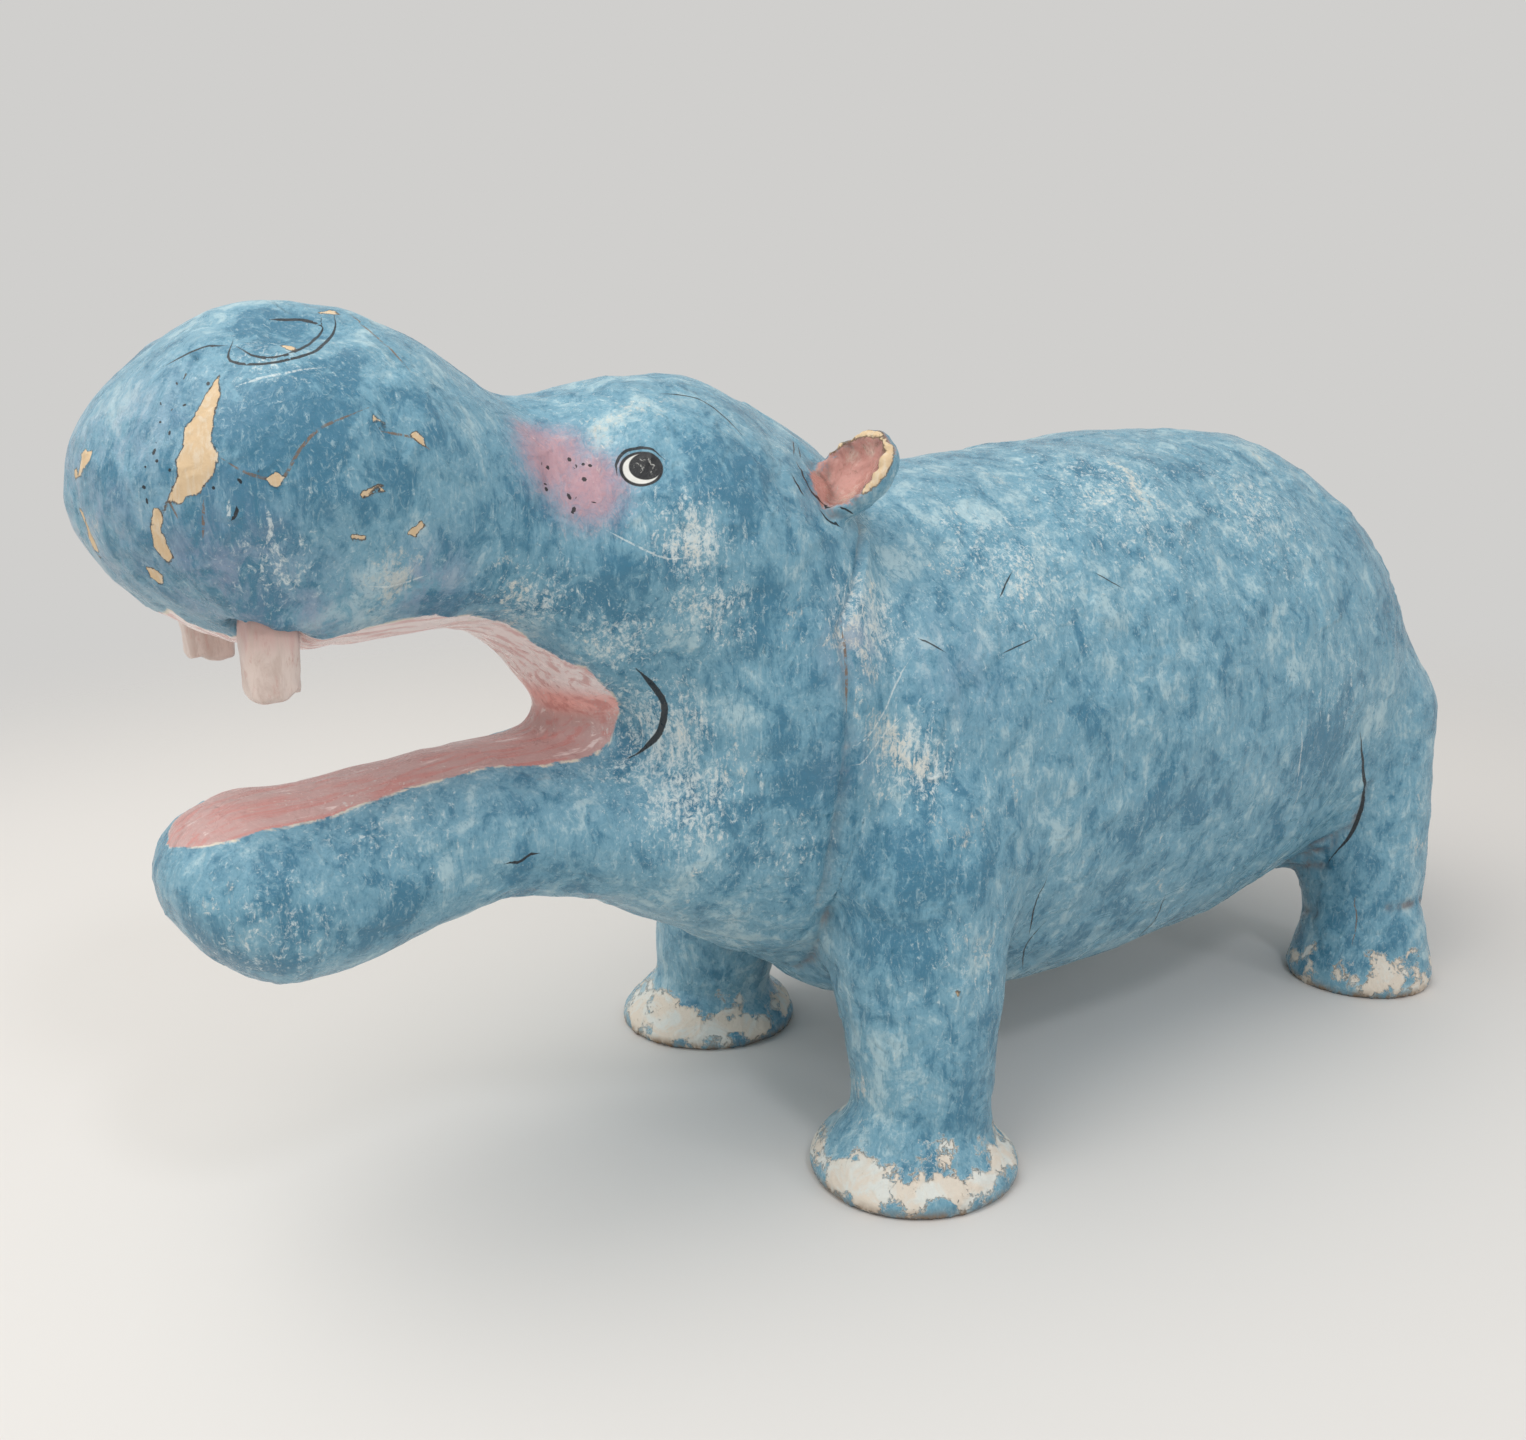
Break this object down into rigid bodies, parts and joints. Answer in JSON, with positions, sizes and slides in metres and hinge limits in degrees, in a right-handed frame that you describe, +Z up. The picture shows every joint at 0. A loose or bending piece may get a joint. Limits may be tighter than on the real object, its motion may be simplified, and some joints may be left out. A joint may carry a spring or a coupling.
{
  "type": "papier-mache hippopotamus",
  "caption": "Hand-built papier-mache hippopotamus standing on flat bell feet, head raised, mouth wide open, blue varnished paint with pink mouth and worn, flaking places.",
  "frame": {"origin": "middle of the plan outline, on the floor", "axes": "+Z up, the head points to -X, the animal's left side to -Y"},
  "size_m": [0.5892, 0.2226, 0.3075],
  "materials": {
    "painted_papier_mache": "hand-brushed blue paint under glossy varnish, scuffed and flaking to cream paper",
    "tooth_paint": "pinkish off-white paint, varnished and stained"
  },
  "bodies": {
    "root": {"body": "painted_papier_mache", "tooth_left": "tooth_paint", "tooth_right": "tooth_paint"}
  },
  "joints": []
}
